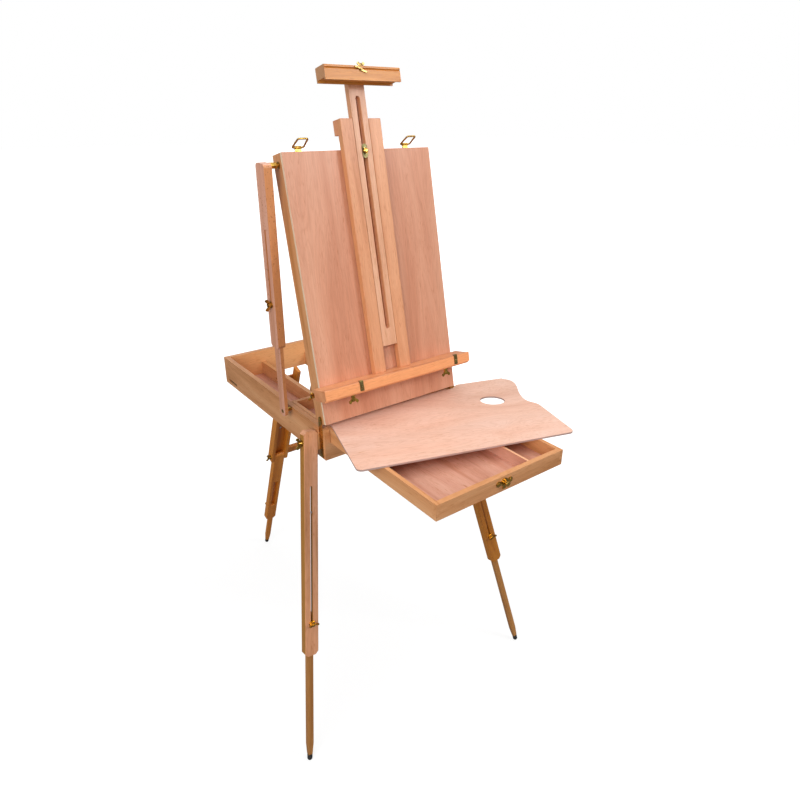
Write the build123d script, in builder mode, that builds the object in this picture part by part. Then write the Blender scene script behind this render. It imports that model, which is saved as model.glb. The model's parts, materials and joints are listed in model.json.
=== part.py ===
"""Free-standing wooden sketch-box easel: a box on three telescoping legs, with a drawer, a
tilting canvas panel, a sliding canvas carrier and mast, and a palette.

Frame: millimetres, +Z up. The origin is the point on the floor below the middle of the box's
front. +X is the artist's right, and the drawer pulls towards -Y.
"""
from build123d import *
from math import cos, radians, sin, tan
import os

os.makedirs("parts", exist_ok=True)

# Box
box_width = 370.0
box_depth = 560.0
box_height = 76.0
box_bottom = 760.0
wall = 13.0
front_rail_height = 41.0
floor_ply = 4.0
runner_thickness = 12.0
channel_width = 130.0
edge_round = 1.0
finger_fit = 0.05

# Drawer
drawer_gap = 1.5
drawer_lift = 0.3
drawer_board = 9.0
drawer_front_board = 12.0
drawer_floor_ply = 4.0
drawer_out = 366.0
drawer_back_gap = 1.0
divider_thickness = 5.0
divider_from_right = 85.0
divider_height = 26.0

# Palette. Its inset is how far its left and near edges lie outside its corner mark.
palette_thickness = 4.0
palette_turn = -16.9
palette_corner = (-217.5, -186.0)
palette_lift = 0.3
thumb_hole_radii = (29.5, 23.0)
thumb_hole_at = (394.0, 199.0)
thumb_hole_turn = -19.0
palette_length = 493.0
palette_depth = 319.5
palette_inset = (4.0, 5.0)
palette_corner_round = 12.0
palette_back_gap = (22.0, 16.0)
palette_back_reach = 9.0

# Lid, which is the canvas panel
lid_lean = 12.5
lid_thickness = 40.0
lid_board = 10.0
lid_side_clearance = 0.5
pivot_y = 15.0
pivot_z = box_bottom + 97.0
pivot_depth = 20.0
pivot_mark = 14.0
lid_bottom = 4.0
lid_top = 564.0
lid_corner_round = 14.0
lid_hollow = 34.0
hinge_plate_width = 14.0
hinge_plate_thickness = 1.5
hinge_plate_foot = 3.0
hinge_screw_edge = 8.0

# Canvas carrier and mast, measured up the lid and out from its front face
rail_width = 30.0
rail_thickness = 15.0
rail_gap = 40.0
rail_bottom = 89.0
rail_above_lid = 58.0
carrier_clearance = 1.0
mast_clearance = 1.2
ledge_length = 400.0
ledge_depth = 50.0
ledge_bottom = 64.0
ledge_height = 25.0
mast_width = 38.0
mast_thickness = 14.0
mast_bottom = 146.0
mast_behind_head = 21.0
groove_from_bottom = 37.0
groove_below_head = 20.0
mast_groove_depth = 8.0
clamp_inset = 5.5
clamp_plate_width = 12.5
clamp_plate_length = 28.0
dome_radius = 6.0
mast_groove_width = 11.0
mast_slot_width = 6.2
head_above_rails = 63.0
head_length = 181.0
head_height = 27.0
head_front = 89.0
head_rebate = 4.0
head_bead = 4.0
hook_half = 14.0

# Side arm, which leans away from the box as it rises
arm_foot_gap = 10.0
arm_head_gap = 23.0
arm_width = 34.0
arm_thickness = 18.0
arm_slide_width = 25.0
arm_slide_thickness = 8.0
arm_fit = 0.4
arm_foot_y = 155.0
arm_foot_z = box_bottom + 70.0
arm_head_along_lid = 543.0
arm_channel_below = 381.0
arm_channel_above = 6.0
arm_slide_length = 335.0
arm_wing_from_foot = 263.0
arm_web = 5.0

# Legs
leg_width = 36.0
leg_thickness = 19.0
leg_slide_width = 16.5
leg_slide_thickness = 10.0
leg_fit = 0.5
leg_slot_width = 5.6
foot_radius = 6.5
foot_height = 11.0
foot_wall = 1.6
spigot_inset = 3.5
leg_channel_depth = 10.6
leg_slide_centre = 4.3
front_leg_y = 30.0
front_leg_z = box_bottom + 41.5
front_leg_offset = 24.0
front_leg_above = 28.0
front_leg_outer = 525.0
front_leg_slide_overlap = 105.0
front_leg_slot_start = 100.0
left_leg_splay = 8.85
left_leg_forward = 9.8
right_leg_splay = 11.15
right_leg_forward = 11.9
rear_x = -35.0
rear_pivot_y = 455.0
rear_pivot_z = box_bottom + 18.0
rear_lean = 21.5
rear_frame_length = 346.0
rear_leg_outer = 338.0
rear_slot_length = 143.0
cheek_thickness = 10.0

# Catch loops, on brackets on the lid's top edge
loop_inset = 50.0
loop_half = 13.0
loop_reach = 30.0
loop_out = 18.0
loop_rise = 11.0
loop_lean = 67.0

# Fittings of the box
wedge_below = 21.5
wedge_above = 24.5
wedge_length = 21.5
handle_height = 50.0
handle_out = 11.0
handle_half = 50.0
handle_drop = 32.0
handle_radius = 5.5
keeper_inset = 4.0
keeper_height = 24.0
keeper_width = 18.0
notch_from_back = (18.0, 76.0)
notch_height = (8.0, 16.5)
notch_depth = 8.0

# Hardware
bolt_radius = 2.5
pin_radius = 3.0
running_fit = 0.06
seat_gap = 0.3
wing_hub_radius = 5.0
wing_hub_height = 7.0
wing_span = 13.0
wing_thickness = 2.2
washer_radius = 7.5
washer_thickness = 1.2
plate_thickness = 1.5
wire_radius = 1.8

half = box_width / 2
inner_half = half - wall
rim = box_bottom + box_height
rail_line = box_bottom + front_rail_height
lean = radians(lid_lean)
lid_half = half - lid_side_clearance
loop_x = half - loop_inset
side_names = {-1: "left", 1: "right"}
tool_up = (Align.CENTER, Align.CENTER, Align.MIN)

# The lid's directions, and the points that it turns about. Its rim is the edge of its hollow.
lid_up = Vector(0, sin(lean), cos(lean))
lid_out = Vector(0, -cos(lean), sin(lean))
lid_pivot = Vector(0, pivot_y, pivot_z)
lid_origin = lid_pivot - lid_up * pivot_mark - lid_out * pivot_depth

# The side arm's plane holds its foot and both ends of its head's travel
arm_foot = Vector(-half - arm_foot_gap, arm_foot_y, arm_foot_z)
arm_head_x = -half - arm_head_gap
arm_head = Vector(arm_head_x, 0, 0) + lid_pivot + lid_up * (arm_head_along_lid - pivot_mark)
arm_head_closed = Vector(arm_head_x, pivot_y + arm_head_along_lid - pivot_mark, pivot_z)
arm_length = (arm_head - arm_foot).length
arm_travel = arm_length - (arm_head_closed - arm_foot).length
arm_dir = (arm_head - arm_foot).normalized()
arm_out = arm_dir.cross(arm_head_closed - arm_foot).normalized()
arm_slide_near = arm_thickness - arm_web - arm_fit - arm_slide_thickness
arm_slide_far = arm_slide_near + arm_slide_thickness


def arm_plane(out, along=0.0):
    """A plane across the arm at one distance out from its open face, with local x up the arm."""
    return Plane(origin=arm_foot + arm_out * out + arm_dir * along, x_dir=arm_dir, z_dir=arm_out)



def save(piece, name):
    """Label one finished sub-part and write it as its own file."""
    piece.part.label = name
    export_step(piece.part, f"parts/{name}.step")


def span(side, near, far):
    """The x span between two distances from the centre plane, on one side of it."""
    return (near, far) if side > 0 else (-far, -near)


def slab(x_span, y_span, z_span, mode=Mode.ADD):
    """Add or cut a square-edged block in the piece being built."""
    middle = ((x_span[0] + x_span[1]) / 2, (y_span[0] + y_span[1]) / 2, z_span[0])
    with Locations(middle):
        Box(
            x_span[1] - x_span[0],
            y_span[1] - y_span[0],
            z_span[1] - z_span[0],
            align=tool_up,
            mode=mode,
        )


def rod(plane, radius, length, mode=Mode.ADD):
    """Add or cut a round bar that starts on a plane and runs along its normal."""
    with Locations(plane):
        Cylinder(radius, length, align=tool_up, mode=mode)


def screw_head(plane, radius, height):
    """Add a low round screw head that sits on a plane."""
    with Locations(plane):
        Cylinder(radius, height * 0.4, align=tool_up)
    with Locations(plane.offset(height * 0.4)):
        Cone(radius, radius * 0.6, height * 0.6, align=tool_up)


def fingers(low, high, count, odd):
    """Every second step of a corner joint, as height spans."""
    pitch = (high - low) / count
    steps = [(low + i * pitch, low + (i + 1) * pitch) for i in range(count)]
    return steps[1::2] if odd else steps[0::2]


def cut_fingers(x_span, y_span, steps):
    """Cut sockets for another board's fingers in the piece being built."""
    for low, high in steps:
        slab(x_span, y_span, (low - finger_fit, high + finger_fit), Mode.SUBTRACT)


def wing_screw(seat, shank, scale=1.0, rise=0.0):
    """A winged screw: washer, hub and two wings above its seat, and a shank below it.

    The rise is the length of a plain collar between its washer and its wings.
    """
    blade = Plane(origin=seat.origin, x_dir=seat.x_dir, z_dir=seat.y_dir)
    hub = wing_hub_radius * scale
    reach = wing_span * scale
    wing_low = 2.0 + rise
    hub_top = washer_thickness + rise + wing_hub_height * scale
    wing_top = hub_top + 6.0 * scale
    with BuildPart() as screw:
        rod(seat, washer_radius * scale, washer_thickness)
        rod(seat.offset(washer_thickness), hub, hub_top - washer_thickness)
        rod(seat.offset(washer_thickness), bolt_radius, hub_top + 1.5 - washer_thickness)
        rod(seat.offset(-shank), bolt_radius, shank + washer_thickness)
        with BuildSketch(blade):
            with BuildLine():
                Polyline((0, -wing_low), (hub, -wing_low), (reach - 2.0, -hub_top + 1.5))
                ThreePointArc(
                    (reach - 2.0, -hub_top + 1.5),
                    (reach, -wing_top + 2.5),
                    (reach - 4.0, -wing_top),
                )
                Polyline(
                    (reach - 4.0, -wing_top),
                    (hub * 0.7, -hub_top - 0.5),
                    (0, -hub_top - 0.5),
                    (0, -wing_low),
                )
            make_face()
            mirror(about=Plane.YZ)
        extrude(amount=wing_thickness * scale / 2, both=True)
    return screw


# Box walls, jointed with fingers at the corners
front_steps = (box_bottom, rail_line, 3)
back_steps = (box_bottom, rim, 5)
leg_angles = {
    -1: (radians(left_leg_splay), radians(left_leg_forward)),
    1: (radians(right_leg_splay), radians(right_leg_forward)),
}
leg_pivots = {
    side: Vector(side * (half + front_leg_offset), front_leg_y, front_leg_z) for side in (-1, 1)
}
leg_inward = {
    side: Vector(-side * cos(leg_angles[side][0]), 0, -sin(leg_angles[side][0])) for side in (-1, 1)
}

notch_x = (-half, -half + notch_depth)
notch_y = (box_depth - notch_from_back[1], box_depth - notch_from_back[0])
notch_z = (box_bottom + notch_height[0], box_bottom + notch_height[1])

for side in (-1, 1):
    leg_bolt_line = Plane(origin=leg_pivots[side], z_dir=leg_inward[side])
    with BuildPart() as box_side:
        slab(span(side, inner_half, half), (0, box_depth), (box_bottom, rim))
        cut_fingers(span(side, inner_half, half), (0, wall), fingers(*front_steps, odd=True))
        cut_fingers(
            span(side, inner_half, half), (box_depth - wall, box_depth), fingers(*back_steps, odd=True)
        )
        rod(leg_bolt_line, bolt_radius + finger_fit, front_leg_offset + wall + 5, Mode.SUBTRACT)
        if side < 0:
            rod(arm_plane(-arm_foot_gap - wall), pin_radius + finger_fit, 2 * wall, Mode.SUBTRACT)
            slab(notch_x, notch_y, notch_z, Mode.SUBTRACT)
    save(box_side, f"box_{side_names[side]}_wall")

with BuildPart() as box_front_rail:
    slab((-half, half), (0, wall), (box_bottom, rail_line))
    for side in (-1, 1):
        cut_fingers(span(side, inner_half, half), (0, wall), fingers(*front_steps, odd=False))
save(box_front_rail, "box_front_rail")

with BuildPart() as box_back_wall:
    slab((-half, half), (box_depth - wall, box_depth), (box_bottom, rim))
    for side in (-1, 1):
        cut_fingers(
            span(side, inner_half, half), (box_depth - wall, box_depth), fingers(*back_steps, odd=False)
        )
save(box_back_wall, "box_back_wall")

# Floors of the two side compartments, and the runners between them that carry the drawer
runner_inner = channel_width / 2
runner_outer = runner_inner + runner_thickness
rear_pin_line = Plane(
    origin=(-half, rear_pivot_y, rear_pivot_z), x_dir=(0, 1, 0), z_dir=(1, 0, 0)
)

with BuildPart() as box_floor_panels:
    for side in (-1, 1):
        slab(
            span(side, runner_outer, inner_half),
            (wall, box_depth - wall),
            (box_bottom, box_bottom + floor_ply),
        )
save(box_floor_panels, "box_floor_panels")

with BuildPart() as drawer_runners:
    for side in (-1, 1):
        slab(span(side, runner_inner, runner_outer), (wall, box_depth - wall), (box_bottom, rail_line))
    rod(rear_pin_line, pin_radius + finger_fit, box_width, Mode.SUBTRACT)
save(drawer_runners, "drawer_runners")

# Hinge plates screwed outside the side walls
plate_half = hinge_plate_width / 2
screw_low = box_bottom + hinge_plate_foot + hinge_screw_edge
screw_high = rim - hinge_screw_edge - hinge_plate_thickness
screw_heights = [screw_low, (screw_low + screw_high) / 2, screw_high]

with BuildPart() as hinge_plates:
    for side in (-1, 1):
        with BuildSketch(Plane(origin=(side * half, 0, 0), x_dir=(0, 1, 0), z_dir=(1, 0, 0))):
            with BuildLine():
                Polyline(
                    (pivot_y - plate_half, pivot_z),
                    (pivot_y - plate_half, box_bottom + hinge_plate_foot),
                    (pivot_y + plate_half, box_bottom + hinge_plate_foot),
                    (pivot_y + plate_half, pivot_z),
                )
                ThreePointArc(
                    (pivot_y + plate_half, pivot_z),
                    (pivot_y, pivot_z + plate_half),
                    (pivot_y - plate_half, pivot_z),
                )
            make_face()
            with Locations((pivot_y, pivot_z)):
                Circle(bolt_radius + running_fit, mode=Mode.SUBTRACT)
        extrude(amount=side * hinge_plate_thickness)
save(hinge_plates, "hinge_plates")

# Wedge blocks that set how far the front legs splay
wedge_low = front_leg_z - wedge_below
wedge_high = front_leg_z + wedge_above
wedge_near = pivot_y + plate_half + seat_gap
wedge_y = (wedge_near, wedge_near + wedge_length)

with BuildPart() as leg_wedges:
    for side in (-1, 1):
        splay = leg_angles[side][0]
        face = front_leg_offset - (leg_width / 2 + seat_gap) / cos(splay)
        reach_low = face + (front_leg_z - wedge_low) * tan(splay)
        reach_high = face - (wedge_high - front_leg_z) * tan(splay)
        with BuildSketch(Plane.XZ.offset(-wedge_y[0])):
            with BuildLine():
                Polyline(
                    (side * half, wedge_low),
                    (side * half, wedge_high),
                    (side * (half + reach_high), wedge_high),
                    (side * (half + reach_low), wedge_low),
                    (side * half, wedge_low),
                )
            make_face()
        extrude(amount=wedge_y[0] - wedge_y[1])
    for side in (-1, 1):
        rod(
            Plane(origin=leg_pivots[side], z_dir=leg_inward[side]),
            bolt_radius + finger_fit,
            front_leg_offset + wall,
            Mode.SUBTRACT,
        )
save(leg_wedges, "leg_wedges")

# Fixed pins and screws of the box
cheek_gap = 1.5
cheek_outer = runner_inner - cheek_gap
pin_depth = cheek_thickness - 1.0
pin_head_radius = 5.0
pin_head_height = 1.5

with BuildPart() as box_fixings:
    for side in (-1, 1):
        for height in screw_heights:
            seat = Plane(origin=(side * (half + hinge_plate_thickness), pivot_y, height), z_dir=(side, 0, 0))
            screw_head(seat, 3.5, 0.4)
        rear_pin = Plane(
            origin=(side * runner_outer, rear_pivot_y, rear_pivot_z), z_dir=(-side, 0, 0)
        )
        rod(rear_pin, pin_radius, runner_thickness + cheek_gap + pin_depth)
    pin_start = 1.0 - arm_foot_gap - wall
    pin_end = arm_slide_far - pin_head_height - 0.2
    rod(arm_plane(pin_start), pin_radius, pin_end - pin_start)
    rod(arm_plane(seat_gap - arm_foot_gap), 4.5, arm_foot_gap + arm_slide_near - 2 * seat_gap)
    rod(arm_plane(pin_end), pin_head_radius, pin_head_height)
save(box_fixings, "box_fixings")

# Keepers and the handle's staples on the back wall
keeper_top = rim - keeper_inset
keeper_half = keeper_width / 2
handle_z = box_bottom + handle_height
staple_half = 10.0
staple_radius = 2.5

with BuildPart() as back_wall_hardware:
    for side in (-1, 1):
        slab(
            (side * loop_x - keeper_half, side * loop_x + keeper_half),
            (box_depth, box_depth + 1.5),
            (keeper_top - keeper_height, keeper_top),
        )
        with BuildSketch(Plane.YZ.offset(side * loop_x - 8)):
            with BuildLine():
                Polyline(
                    (box_depth + 1.5, keeper_top - 18),
                    (box_depth + 1.5, keeper_top - 10),
                    (box_depth + 3.0, keeper_top - 10),
                    (box_depth + 4.0, keeper_top - 13),
                    (box_depth + 5.5, keeper_top - 10),
                    (box_depth + 5.5, keeper_top - 16),
                    (box_depth + 3.5, keeper_top - 18),
                    (box_depth + 1.5, keeper_top - 18),
                )
            make_face()
        extrude(amount=16)
        for end in (-1, 1):
            post = Plane(
                origin=(side * handle_half + end * staple_half, box_depth, handle_z), z_dir=(0, 1, 0)
            )
            rod(post, staple_radius, handle_out + staple_radius)
        bar = Plane(
            origin=(side * handle_half - staple_half, box_depth + handle_out, handle_z), z_dir=(1, 0, 0)
        )
        rod(bar, staple_radius, 2 * staple_half)
save(back_wall_hardware, "back_wall_hardware")

eye_length = 2 * (staple_half - staple_radius) - 2 * seat_gap

with BuildPart() as carrying_handle:
    with BuildLine(Plane(origin=(0, box_depth + handle_out, handle_z), x_dir=(1, 0, 0), z_dir=(0, -1, 0))):
        grip_path = FilletPolyline(
            (-handle_half, -4.0),
            (-handle_half, -handle_drop),
            (handle_half, -handle_drop),
            (handle_half, -4.0),
            radius=16,
        )
    with BuildSketch(Plane(origin=grip_path @ 0, z_dir=grip_path % 0)):
        Circle(handle_radius)
    sweep(path=grip_path)
    for side in (-1, 1):
        eye = Plane(
            origin=(side * handle_half - eye_length / 2, box_depth + handle_out, handle_z),
            z_dir=(1, 0, 0),
        )
        rod(eye, 6.5, eye_length)
    rod(
        Plane(origin=(-half, box_depth + handle_out, handle_z), z_dir=(1, 0, 0)),
        staple_radius + running_fit,
        box_width,
        Mode.SUBTRACT,
    )
save(carrying_handle, "carrying_handle")

# Drawer
drawer_low = rail_line + drawer_lift
drawer_high = rim
drawer_half = inner_half - drawer_gap
drawer_front_y = -drawer_out
drawer_back_y = box_depth - wall - drawer_back_gap - drawer_out
drawer_inside = drawer_half - drawer_board
drawer_floor_top = drawer_low + drawer_floor_ply
drawer_steps = (drawer_low, drawer_high, 5)
front_inner_y = drawer_front_y + drawer_front_board
back_inner_y = drawer_back_y - drawer_board
catch_z = box_bottom + 62.0
knob_line = Plane(origin=(0, drawer_front_y - plate_thickness, catch_z), z_dir=(0, 1, 0))

with BuildPart() as drawer_front:
    slab((-drawer_half, drawer_half), (drawer_front_y, front_inner_y), (drawer_low, drawer_high))
    for side in (-1, 1):
        cut_fingers(
            span(side, drawer_inside, drawer_half),
            (drawer_front_y, front_inner_y),
            fingers(*drawer_steps, odd=False),
        )
    rod(knob_line, bolt_radius + running_fit, drawer_front_board + plate_thickness, Mode.SUBTRACT)
save(drawer_front, "drawer_front")

with BuildPart() as drawer_back:
    slab((-drawer_half, drawer_half), (back_inner_y, drawer_back_y), (drawer_low, drawer_high))
    for side in (-1, 1):
        cut_fingers(
            span(side, drawer_inside, drawer_half),
            (back_inner_y, drawer_back_y),
            fingers(*drawer_steps, odd=False),
        )
save(drawer_back, "drawer_back")

with BuildPart() as drawer_sides:
    for side in (-1, 1):
        boards = span(side, drawer_inside, drawer_half)
        slab(boards, (drawer_front_y, drawer_back_y), (drawer_low, drawer_high))
    for side in (-1, 1):
        boards = span(side, drawer_inside, drawer_half)
        cut_fingers(boards, (drawer_front_y, front_inner_y), fingers(*drawer_steps, odd=True))
        cut_fingers(boards, (back_inner_y, drawer_back_y), fingers(*drawer_steps, odd=True))
save(drawer_sides, "drawer_sides")

with BuildPart() as drawer_floor:
    slab((-drawer_inside, drawer_inside), (front_inner_y, back_inner_y), (drawer_low, drawer_floor_top))
save(drawer_floor, "drawer_floor")

divider_x = half - wall - drawer_gap - divider_from_right
with BuildPart() as drawer_divider:
    slab(
        (divider_x - divider_thickness / 2, divider_x + divider_thickness / 2),
        (front_inner_y, back_inner_y),
        (drawer_floor_top, drawer_floor_top + divider_height),
    )
save(drawer_divider, "drawer_divider")

lobe_x = 15.5
with BuildPart() as drawer_catch_plate:
    with BuildSketch(Plane.XZ.offset(-drawer_front_y)):
        with Locations((0, catch_z)):
            Circle(9.0)
            Rectangle(2 * lobe_x, 9.0)
        with Locations((-lobe_x, catch_z), (lobe_x, catch_z)):
            Circle(6.2)
        with Locations((0, catch_z - 8.0)):
            Rectangle(9.0, 13.0)
    extrude(amount=plate_thickness)
    with Locations(knob_line):
        Cylinder(bolt_radius + running_fit, 20, mode=Mode.SUBTRACT)
    for side in (-1, 1):
        screw_head(
            Plane(origin=(side * lobe_x, drawer_front_y - plate_thickness, catch_z), z_dir=(0, -1, 0)),
            3.2,
            1.0,
        )
save(drawer_catch_plate, "drawer_catch_plate")

with BuildPart() as drawer_catch_knob:
    knob_seat = Plane(
        origin=(0, drawer_front_y - plate_thickness - seat_gap, catch_z), x_dir=(1, 0, 0), z_dir=(0, -1, 0)
    )
    rod(knob_seat, 6.0, 3.0)
    rod(knob_seat.offset(3.0), 4.0, 3.0)
    rod(knob_seat.offset(6.0), 5.5, 4.0)
    rod(knob_seat.offset(-seat_gap - plate_thickness - drawer_front_board + 2), bolt_radius, 13.0)
    fillet(drawer_catch_knob.edges().sort_by(Axis.Y)[0], 1.0)
save(drawer_catch_knob, "drawer_catch_knob")

# Palette, laid on the open drawer and turned to the right
palette_plane = Plane(
    origin=(palette_corner[0], palette_corner[1], rim + palette_lift),
    x_dir=(cos(radians(palette_turn)), sin(radians(palette_turn)), 0),
    z_dir=(0, 0, 1),
)
palette_left = -palette_inset[0]
palette_near = -palette_inset[1]
palette_right = palette_left + palette_length
palette_far = palette_near + palette_depth
hold_u, hold_v = thumb_hole_at


def on_palette(x, y):
    """A point of the box's frame in the palette's own plane."""
    local = palette_plane.to_local_coords(Vector(x, y, rim + palette_lift))
    return (local.X, local.Y)


corner = palette_corner_round
corner_mid = corner * (1 - cos(radians(45)))
back_left = on_palette(palette_back_gap[0] - half, palette_back_reach)
back_right = on_palette(half - palette_back_gap[1], palette_back_reach)
step_low = on_palette(half - palette_back_gap[1] + 2, 2)
step_end = on_palette(half + 6, 2)

with BuildPart() as palette:
    with BuildSketch(palette_plane):
        with BuildLine():
            Line((palette_left + corner, palette_near), (palette_right - corner, palette_near))
            ThreePointArc(
                (palette_right - corner, palette_near),
                (palette_right - corner_mid, palette_near + corner_mid),
                (palette_right, palette_near + corner),
            )
            Line((palette_right, palette_near + corner), (palette_right, hold_v - 61))
            Spline(
                (palette_right, hold_v - 61),
                (hold_u + 90.6, hold_v - 47.1),
                (hold_u + 80, hold_v - 30.8),
                (hold_u + 79.5, hold_v + 0.3),
                (hold_u + 86.1, hold_v + 24.1),
                (hold_u + 100.1, hold_v + 60.8),
                (hold_u + 103.8, hold_v + 84.9),
                (hold_u + 98.7, hold_v + 101.4),
                (hold_u + 87.6, hold_v + 112.2),
                (hold_u + 72, palette_far),
                tangents=((0, 1), (-1, 0)),
            )
            Line((hold_u + 72, palette_far), (step_end[0] + 20, palette_far))
            Spline(
                (step_end[0] + 20, palette_far),
                (step_end[0] + 9.3, palette_far - 5.5),
                step_end,
                tangents=((-1, 0), (-0.6, -1)),
            )
            Polyline(
                step_end,
                step_low,
                back_right,
                back_left,
                (palette_left, back_left[1] - 8),
                (palette_left, palette_near + corner),
            )
            ThreePointArc(
                (palette_left, palette_near + corner),
                (palette_left + corner_mid, palette_near + corner_mid),
                (palette_left + corner, palette_near),
            )
        make_face()
        with Locations(Location((hold_u, hold_v, 0), (0, 0, 1), thumb_hole_turn)):
            Ellipse(*thumb_hole_radii, mode=Mode.SUBTRACT)
    extrude(amount=palette_thickness)
save(palette, "palette")

# The lid's planes. On the face planes local x is the object's x and local y runs up the lid.
# On the profile planes local x runs up the lid and local y comes out of its front face.
lid_back = Plane(origin=lid_origin, x_dir=(1, 0, 0), z_dir=lid_out)


def lid_profile(x):
    """The lid's profile plane at one x."""
    return Plane(origin=lid_origin + Vector(x, 0, 0), x_dir=lid_up, z_dir=(1, 0, 0))


def lid_point(x, up, out):
    """A point given by x, the height up the lid and the distance out from its rim."""
    return lid_origin + Vector(x, 0, 0) + lid_up * up + lid_out * out


def lid_slab(x_span, up_span, out_span, mode=Mode.ADD):
    """Add or cut a square-edged block that lies along the lid."""
    middle = lid_point((x_span[0] + x_span[1]) / 2, (up_span[0] + up_span[1]) / 2, out_span[0])
    with Locations(Plane(origin=middle, x_dir=(1, 0, 0), z_dir=lid_out)):
        Box(
            x_span[1] - x_span[0],
            up_span[1] - up_span[0],
            out_span[1] - out_span[0],
            align=tool_up,
            mode=mode,
        )


lid_inside = lid_half - lid_board
side_pin_line = Plane(origin=lid_pivot - Vector(half, 0, 0), x_dir=(0, 1, 0), z_dir=(1, 0, 0))
clamp_height = lid_top - clamp_inset
clamp_line = Plane(origin=lid_point(0, clamp_height, 0), x_dir=(1, 0, 0), z_dir=lid_out)
lid_bar_low = (lid_bottom, lid_bottom + 10.0)
lid_bar_high = (lid_top - 14.0, lid_top)
side_wing_up = 70.0
side_wing_seat = Plane(
    origin=lid_point(-lid_half - seat_gap, side_wing_up, pivot_depth),
    x_dir=lid_up + lid_out,
    z_dir=(-1, 0, 0),
)

with BuildPart() as lid_panel:
    lid_slab((-lid_half, lid_half), (lid_bottom, lid_top), (lid_hollow, lid_thickness))
    rod(clamp_line, bolt_radius + running_fit, lid_thickness, Mode.SUBTRACT)
save(lid_panel, "lid_panel")

with BuildPart() as lid_sides:
    for side in (-1, 1):
        with BuildSketch(lid_profile(span(side, lid_inside, lid_half)[0])):
            with BuildLine():
                Polyline(
                    (lid_bottom + lid_corner_round, 0),
                    (lid_top, 0),
                    (lid_top, lid_hollow),
                    (lid_bottom, lid_hollow),
                    (lid_bottom, lid_corner_round),
                )
                ThreePointArc(
                    (lid_bottom, lid_corner_round),
                    (
                        lid_bottom + lid_corner_round * (1 - cos(radians(45))),
                        lid_corner_round * (1 - cos(radians(45))),
                    ),
                    (lid_bottom + lid_corner_round, 0),
                )
            make_face()
        extrude(amount=lid_board)
    rod(side_pin_line, bolt_radius + finger_fit, box_width, Mode.SUBTRACT)
    rod(side_wing_seat.offset(-7.0), bolt_radius + running_fit, 8.0, Mode.SUBTRACT)
save(lid_sides, "lid_sides")

with BuildPart() as lid_end_bars:
    lid_slab((-lid_inside, lid_inside), lid_bar_low, (6.0, lid_hollow))
    lid_slab((-lid_inside, lid_inside), lid_bar_high, (0, lid_hollow))
    rod(clamp_line, bolt_radius + running_fit, lid_thickness, Mode.SUBTRACT)
save(lid_end_bars, "lid_end_bars")

# Hinge pins, the arm's bolt and the catch brackets that are fixed to the lid
arm_bolt_gap = 0.7
barrel_radius = wire_radius + 1.4
barrel_half = 7.0
loop_axis_up = lid_top + loop_rise
arm_reach = arm_head_gap + lid_side_clearance - arm_bolt_gap

with BuildPart() as lid_fixings:
    for side in (-1, 1):
        hinge_pin = Plane(
            origin=lid_pivot + Vector(side * (lid_half - 8), 0, 0), x_dir=(0, 1, 0), z_dir=(side, 0, 0)
        )
        pin_length = 8 + lid_side_clearance + hinge_plate_thickness + seat_gap
        rod(hinge_pin, bolt_radius, pin_length)
        screw_head(hinge_pin.offset(pin_length), 4.0, 1.6)
        lid_slab(
            (side * loop_x - 8.5, side * loop_x + 8.5),
            (lid_top, lid_top + 1.4),
            (loop_out - 11, loop_out + 11),
        )
        lid_slab(
            (side * loop_x - barrel_half, side * loop_x + barrel_half),
            (lid_top, loop_axis_up),
            (loop_out - 1.2, loop_out + 1.2),
        )
        barrel = Plane(
            origin=lid_point(side * loop_x - barrel_half, loop_axis_up, loop_out),
            x_dir=lid_out,
            z_dir=(1, 0, 0),
        )
        rod(barrel, barrel_radius, 2 * barrel_half)
        rod(barrel, wire_radius + running_fit, 2 * barrel_half, Mode.SUBTRACT)
    arm_bolt = Plane(
        origin=lid_point(-lid_half, arm_head_along_lid, pivot_depth), x_dir=(0, 1, 0), z_dir=(-1, 0, 0)
    )
    rod(arm_bolt, 7.0, 1.5)
    rod(arm_bolt, 4.0, arm_reach)
    with BuildSketch(arm_bolt.offset(6.0)):
        RegularPolygon(6.6, 6)
    extrude(amount=arm_reach - 6.0)
save(lid_fixings, "lid_fixings")

for side in (-1, 1):
    loop_dir = lid_up * cos(radians(loop_lean)) + lid_out * sin(radians(loop_lean))
    loop_plane = Plane(
        origin=lid_point(side * loop_x, loop_axis_up, loop_out),
        x_dir=(1, 0, 0),
        z_dir=Vector(1, 0, 0).cross(loop_dir),
    )
    with BuildPart() as catch_loop:
        with BuildLine(loop_plane):
            loop_path = FilletPolyline(
                (-loop_half, 0),
                (loop_half, 0),
                (loop_half - 2, loop_reach),
                (-loop_half + 2, loop_reach),
                radius=4.0,
                close=True,
            )
        with BuildSketch(Plane(origin=loop_path @ 0, z_dir=loop_path % 0)):
            Circle(wire_radius)
        sweep(path=loop_path)
    save(catch_loop, f"catch_loop_{side_names[side]}")

# A wing bolt low on the lid's left side
lid_side_wing = wing_screw(side_wing_seat, 6.0, rise=4.0)
save(lid_side_wing, "lid_side_wing")

# Canvas carrier: two rails, the block behind their tops, and the ledge
rail_back = lid_thickness + carrier_clearance
rail_near = rail_gap / 2
rail_far = rail_near + rail_width
ledge_front = lid_thickness + ledge_depth
ledge_top = ledge_bottom + ledge_height
rail_top = lid_top + rail_above_lid

with BuildPart() as carrier_rails:
    for side in (-1, 1):
        lid_slab(
            span(side, rail_near, rail_far),
            (rail_bottom, rail_top),
            (rail_back, rail_back + rail_thickness),
        )
    fillet(carrier_rails.edges(), edge_round)
save(carrier_rails, "carrier_rails")

block_low = rail_top - 29.0
with BuildPart() as carrier_top_block:
    lid_slab((-rail_far, rail_far), (block_low, rail_top), (rail_back - 14.0, rail_back))
save(carrier_top_block, "carrier_top_block")

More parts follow.
